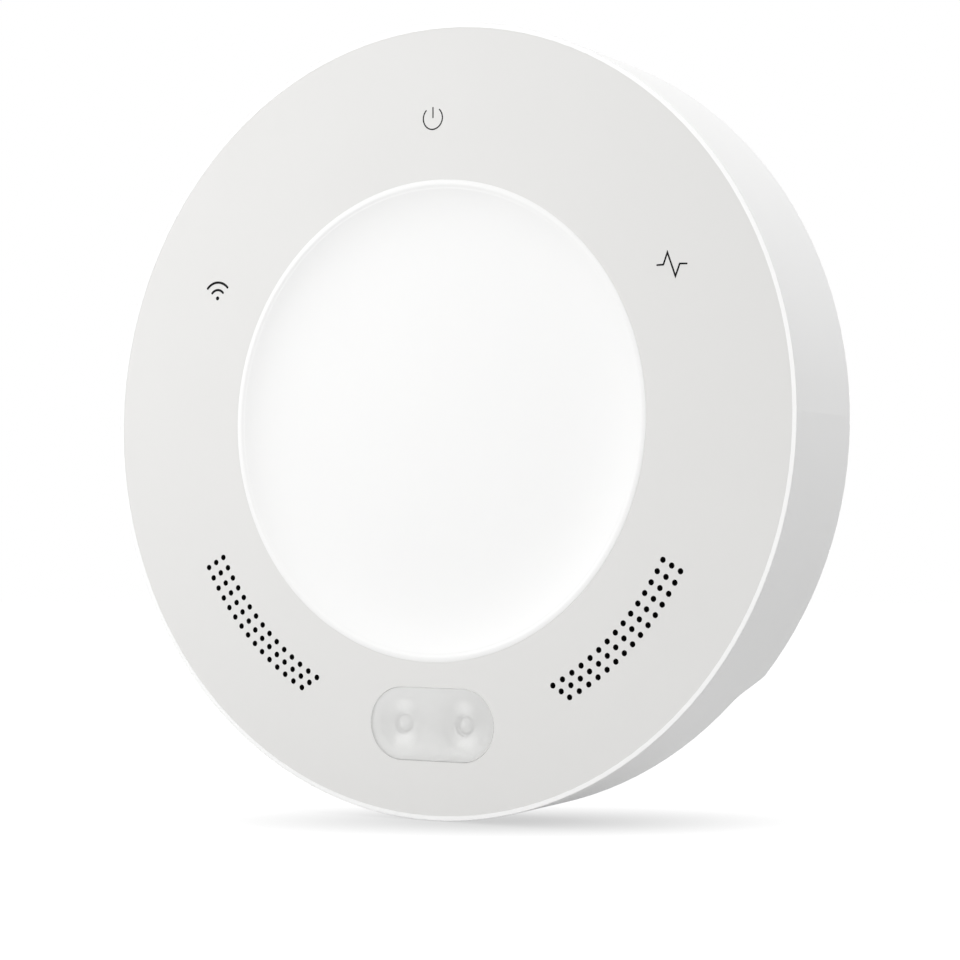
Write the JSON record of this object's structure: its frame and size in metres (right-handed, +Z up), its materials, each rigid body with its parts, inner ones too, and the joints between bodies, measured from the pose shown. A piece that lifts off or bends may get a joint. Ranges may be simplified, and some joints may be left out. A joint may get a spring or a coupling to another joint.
{
  "type": "garage door controller",
  "caption": "Round wall-mounted garage door controller with a grey face ring, dished centre, sound holes, warning light lens and a connector well behind.",
  "frame": {"origin": "middle of the back, on the wall plane", "axes": "+Z up the wall, +Y into the wall, so the face looks along -Y; +X to the right of a viewer who faces it"},
  "size_m": [0.1304, 0.0222, 0.1304],
  "materials": {
    "white_shell": "satin moulded plastic",
    "grey_plate": "fine matt moulding",
    "white_disc": "smooth gloss moulding",
    "clear_lens": "clear polycarbonate",
    "pale_reflector": "pale moulded reflector",
    "light_emitter": "resin dome",
    "green_board": "solder mask",
    "steel_screw": "zinc plated",
    "white_ribbon": "flexible film",
    "dark_mesh": "woven dust mesh",
    "foam": "closed cell foam",
    "black_plastic": "moulded",
    "magnet": "plated magnet",
    "cone": "film cone",
    "surround": "soft roll",
    "gold_contact": "plated spring",
    "capacitor_can": "drawn can",
    "shield_can": "tinned can",
    "relay_blue": "moulded",
    "copper_coil": "enamelled winding",
    "soft_iron": "plated iron",
    "terminal_grey": "moulded",
    "orange_tab": "moulded",
    "socket_shell": "folded shell",
    "button_grey": "moulded",
    "rear_white": "fine textured moulding",
    "wifi_blue": "solder mask"
  },
  "bodies": {
    "casing": {"front_housing": "white_shell", "face_plate": "grey_plate", "centre_disc": "white_disc", "warning_lens": "clear_lens", "lens_reflector": "pale_reflector", "warning_leds": "light_emitter", "led_board": "green_board", "led_board_screws": "steel_screw", "led_ribbon": "white_ribbon", "icon_light_guides": "clear_lens", "grille_mesh_left": "dark_mesh", "grille_mesh_right": "dark_mesh", "speaker_screws": "steel_screw", "speaker_contacts": "gold_contact", "main_board": "green_board", "main_board_screws": "steel_screw", "status_leds": "light_emitter", "board_chips": "black_plastic", "capacitors": "capacitor_can", "wifi_module": "wifi_blue", "wifi_shield": "shield_can", "relay_base": "relay_blue", "relay_coil": "copper_coil", "relay_yoke": "soft_iron", "relay_contact": "gold_contact", "relay_cover": "relay_blue", "terminal_block": "terminal_grey", "terminal_clamps": "gold_contact", "power_socket": "socket_shell", "power_tongue": "black_plastic", "reset_switch": "black_plastic", "rear_cover": "rear_white", "rear_cover_screws": "steel_screw", "left_speaker_gasket": "foam", "left_speaker_frame": "black_plastic", "left_speaker_magnet": "magnet", "left_speaker_surround": "surround", "right_speaker_gasket": "foam", "right_speaker_frame": "black_plastic", "right_speaker_magnet": "magnet", "right_speaker_surround": "surround"},
    "reset_key": {"reset_button": "button_grey"},
    "left_tab": {"release_tab_left": "orange_tab"},
    "right_tab": {"release_tab_right": "orange_tab"},
    "left_cone": {"left_speaker_cone": "cone"},
    "right_cone": {"right_speaker_cone": "cone"},
    "armature": {"relay_armature": "soft_iron"}
  },
  "joints": [
    {"name": "reset_press", "type": "slide", "parent": "casing", "child": "reset_key", "axis": [0, 0, 1], "range_m": [0, 0.0005], "stiffness_N_per_m": 600, "springref_m": -0.0003},
    {"name": "left_tab_press", "type": "slide", "parent": "casing", "child": "left_tab", "axis": [0, 0, 1], "range_m": [0, 0.001], "stiffness_N_per_m": 800, "springref_m": -0.0005},
    {"name": "right_tab_press", "type": "slide", "parent": "casing", "child": "right_tab", "axis": [0, 0, 1], "range_m": [0, 0.001], "stiffness_N_per_m": 800, "springref_m": -0.0005},
    {"name": "left_cone_travel", "type": "slide", "parent": "casing", "child": "left_cone", "axis": [0, -1, 0], "range_m": [-0.0003, 0.0003], "stiffness_N_per_m": 400, "deforming": ["left_speaker_surround"]},
    {"name": "right_cone_travel", "type": "slide", "parent": "casing", "child": "right_cone", "axis": [0, -1, 0], "range_m": [-0.0003, 0.0003], "stiffness_N_per_m": 400, "deforming": ["right_speaker_surround"]},
    {"name": "armature_tilt", "type": "hinge", "parent": "casing", "child": "armature", "pos_m": [-0.00976, -0.0073, -0.015], "axis": [0, 0, 1], "range_deg": [0, 6], "stiffness_Nm_per_rad": 0.002, "springref_deg": -2.86}
  ]
}
